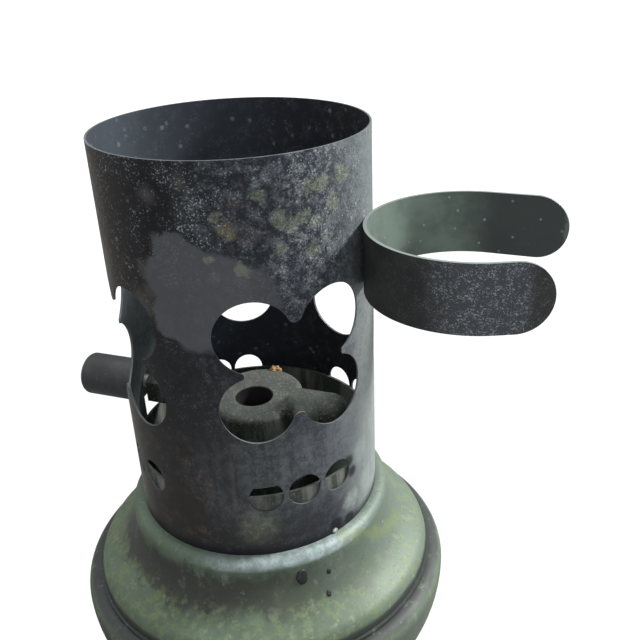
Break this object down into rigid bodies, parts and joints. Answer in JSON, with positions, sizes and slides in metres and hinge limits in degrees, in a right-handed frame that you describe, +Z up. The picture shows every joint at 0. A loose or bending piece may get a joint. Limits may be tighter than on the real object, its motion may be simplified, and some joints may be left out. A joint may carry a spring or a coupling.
{
  "type": "kerosene pressure stove",
  "caption": "Small upright pressure stove: round tank with a swept shoulder, pierced cylindrical windscreen with a spring clip on its side, cast burner with needle valve, hand pump in the tank.",
  "frame": {"origin": "centre of the tank's foot, on the surface that the stove stands on", "axes": "+Z up along the axis of the tank and windscreen; one window of the windscreen faces -Y; the valve knob points to 135 degrees from +X and the spring clip to -45 degrees; the pump points to +Y"},
  "size_m": [0.142, 0.1598, 0.188],
  "materials": {
    "tank_brass": "aged, olive green patina over brass",
    "cup_brass": "heat-dulled brass, grey green",
    "burner_brass": "dusty grey olive casting",
    "windscreen_black": "brass sheet under soot and dark patina",
    "clip_black": "spring brass, blackened",
    "knob_dark": "dull dark patina",
    "spindle_steel": "dull steel",
    "packing_cord": "graphited packing cord",
    "seal_rubber": "black rubber",
    "pump_leather": "oiled leather"
  },
  "bodies": {
    "stove": {"tank_dome": "tank_brass", "tank_cup": "tank_brass", "riser_bush": "tank_brass", "riser_tube": "burner_brass", "pickup_tube": "tank_brass", "pickup_strainer": "tank_brass", "spirit_cup": "cup_brass", "windscreen_collar": "cup_brass", "windscreen": "windscreen_black", "spring_clip": "clip_black", "clip_rivets": "clip_black", "burner_body": "burner_brass", "jet_nipple": "tank_brass", "gland_packing": "packing_cord", "gland_nut": "burner_brass", "filler_neck": "tank_brass", "pump_bush": "tank_brass", "pump_barrel": "tank_brass", "pump_cap": "tank_brass", "nrv_body": "tank_brass", "nrv_spring": "spindle_steel"},
    "spindle": {"valve_spindle": "spindle_steel"},
    "knob": {"control_knob": "knob_dark"},
    "cap_gasket": {"filler_gasket": "seal_rubber"},
    "cap": {"filler_cap": "tank_brass"},
    "bleed_screw": {"air_screw": "tank_brass"},
    "plunger": {"pump_rod": "spindle_steel", "pump_knob": "tank_brass", "pump_leather": "pump_leather", "leather_backing": "tank_brass", "leather_nut": "tank_brass"},
    "check_pip": {"nrv_pip": "seal_rubber"}
  },
  "joints": [
    {"name": "spindle_travel", "type": "slide", "parent": "stove", "child": "spindle", "axis": [-0.7071, 0.7071, 0], "range_m": [0, 0.0015]},
    {"name": "knob_turn", "type": "hinge", "parent": "spindle", "child": "knob", "pos_m": [-0.03, 0.03, 0.1017], "axis": [-0.7071, 0.7071, 0], "range_deg": [0, 540]},
    {"name": "cap_rise", "type": "slide", "parent": "stove", "child": "cap_gasket", "axis": [0, 0, 1], "range_m": [0, 0.003]},
    {"name": "cap_turn", "type": "hinge", "parent": "cap_gasket", "child": "cap", "pos_m": [0.03444, 0.03444, 0.075], "axis": [0, 0, 1], "range_deg": [0, 1080]},
    {"name": "air_screw_turn", "type": "hinge", "parent": "cap", "child": "bleed_screw", "pos_m": [0.03444, 0.03444, 0.078], "axis": [0, 0, 1], "range_deg": [0, 540]},
    {"name": "pump_stroke", "type": "slide", "parent": "stove", "child": "plunger", "axis": [0, 1, 0], "range_m": [0, 0.028]},
    {"name": "nrv_lift", "type": "slide", "parent": "stove", "child": "check_pip", "axis": [0, -1, 0], "range_m": [0, 0.001], "stiffness_N_per_m": 200, "springref_m": -0.0005, "deforming": ["nrv_spring"]}
  ],
  "couplings": [
    {"joint": "knob_turn", "follows": "spindle_travel", "rad_per_m": 6283.2},
    {"joint": "cap_turn", "follows": "cap_rise", "rad_per_m": 6283.2}
  ]
}
